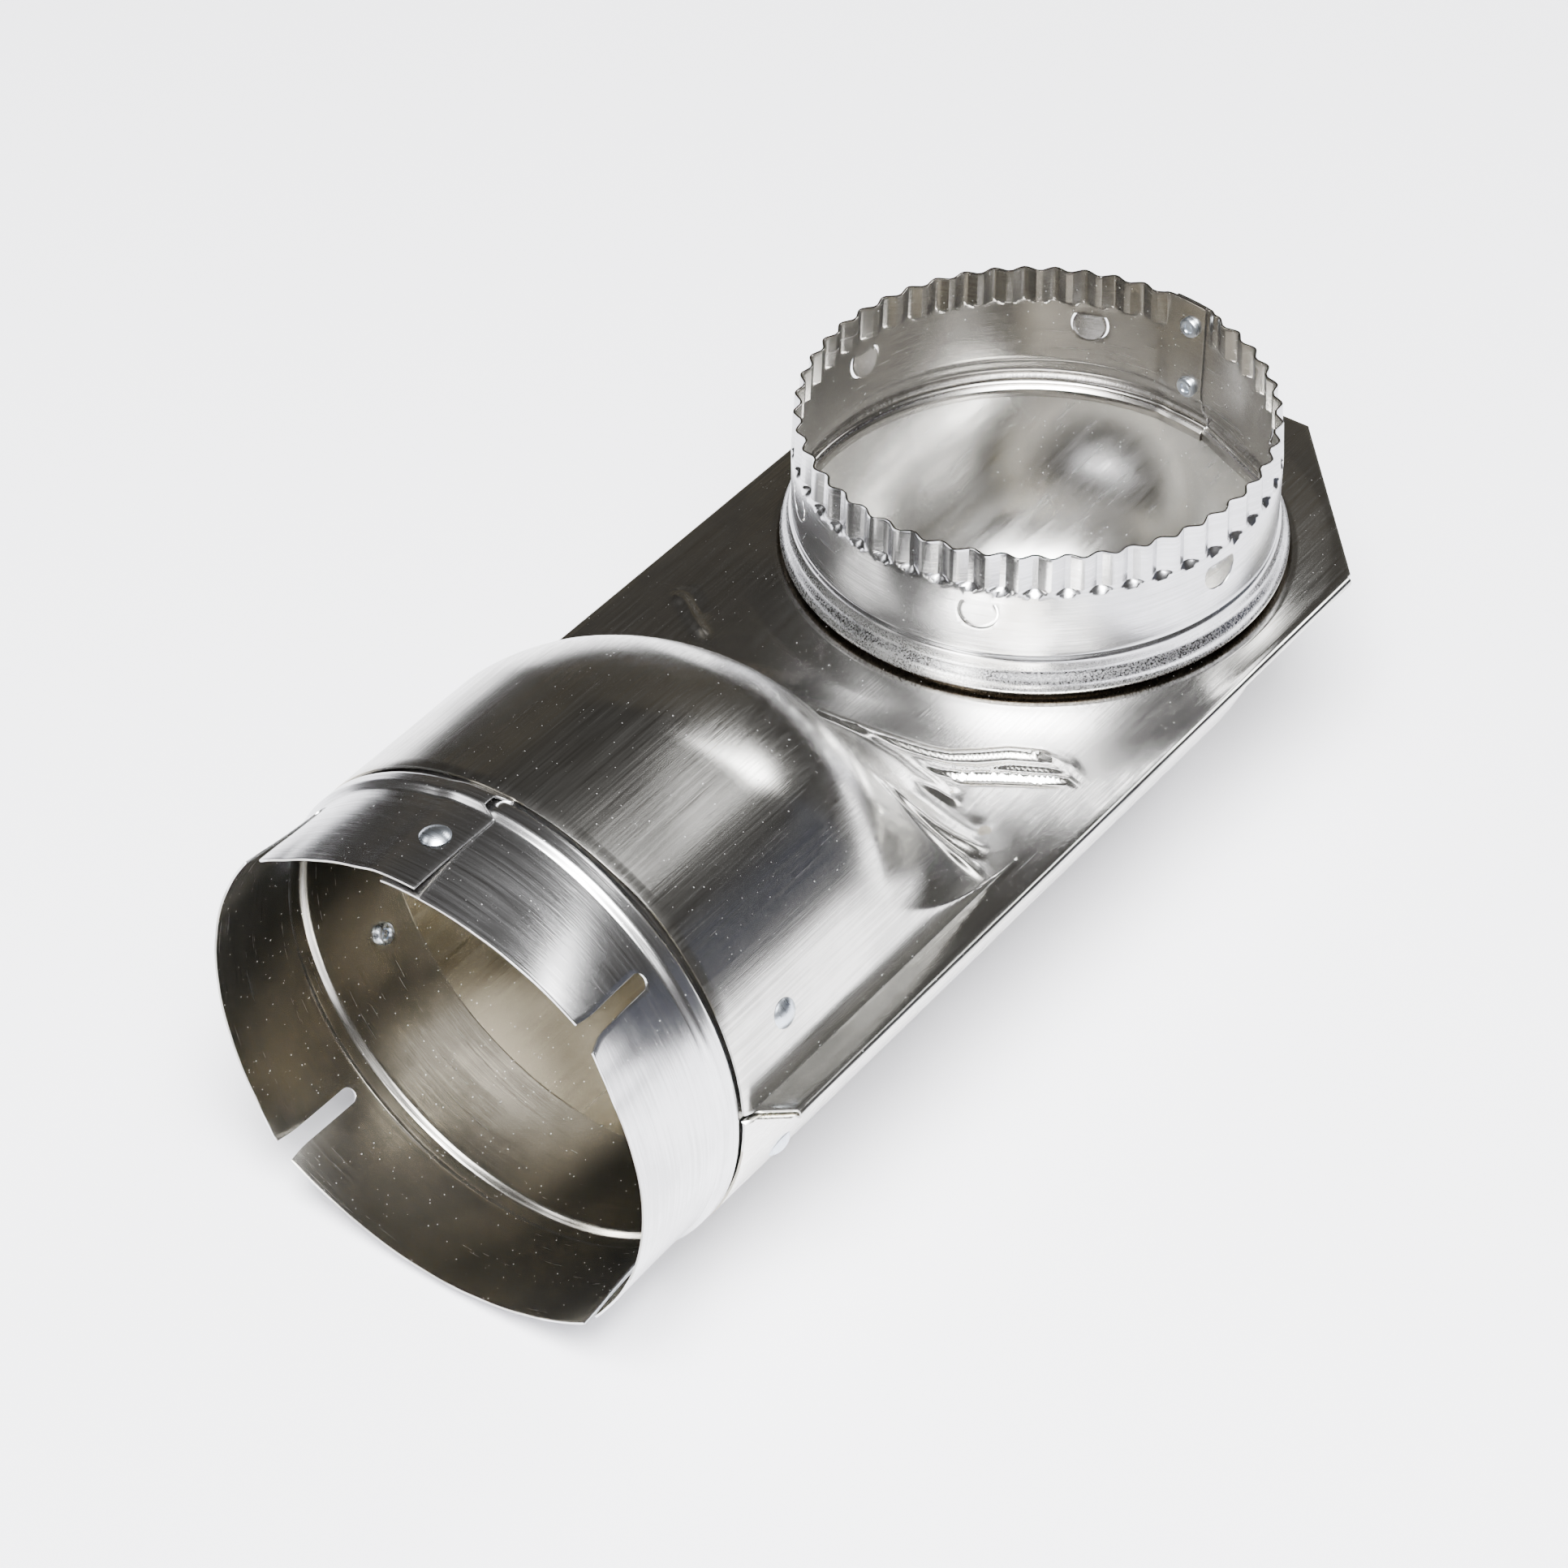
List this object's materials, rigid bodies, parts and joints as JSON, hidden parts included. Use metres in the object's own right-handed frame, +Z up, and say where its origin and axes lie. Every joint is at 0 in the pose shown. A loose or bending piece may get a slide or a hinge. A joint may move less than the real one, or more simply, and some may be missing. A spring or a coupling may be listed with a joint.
{
  "type": "dryer vent offset elbow",
  "caption": "Flat offset elbow for a clothes dryer vent: hemmed sheet shells, a slotted inlet collar and a crimped outlet collar that swivels.",
  "frame": {"origin": "middle of the footprint, on the surface that the elbow lies on", "axes": "+X from the slotted inlet towards the closed end, +Z up along the axis of the crimped outlet collar"},
  "size_m": [0.2658, 0.1206, 0.1065],
  "materials": {
    "shell_aluminium": "rolled sheet, lightly brushed",
    "collar_aluminium": "rolled sheet, bright",
    "rivet_aluminium": "satin"
  },
  "bodies": {
    "housing": {"upper_shell": "shell_aluminium", "lower_shell": "shell_aluminium", "inlet_collar": "collar_aluminium", "upper_rivet_right": "rivet_aluminium", "upper_rivet_left": "rivet_aluminium", "lower_rivet_right": "rivet_aluminium", "lower_rivet_left": "rivet_aluminium", "inlet_seam_rivet": "rivet_aluminium"},
    "outlet": {"outlet_collar": "collar_aluminium", "outlet_seam_rivet_low": "rivet_aluminium", "outlet_seam_rivet_high": "rivet_aluminium"}
  },
  "joints": [
    {"name": "outlet_swivel", "type": "hinge", "parent": "housing", "child": "outlet", "pos_m": [0.0658, 0, 0.0546], "axis": [0, 0, 1], "continuous": true}
  ]
}
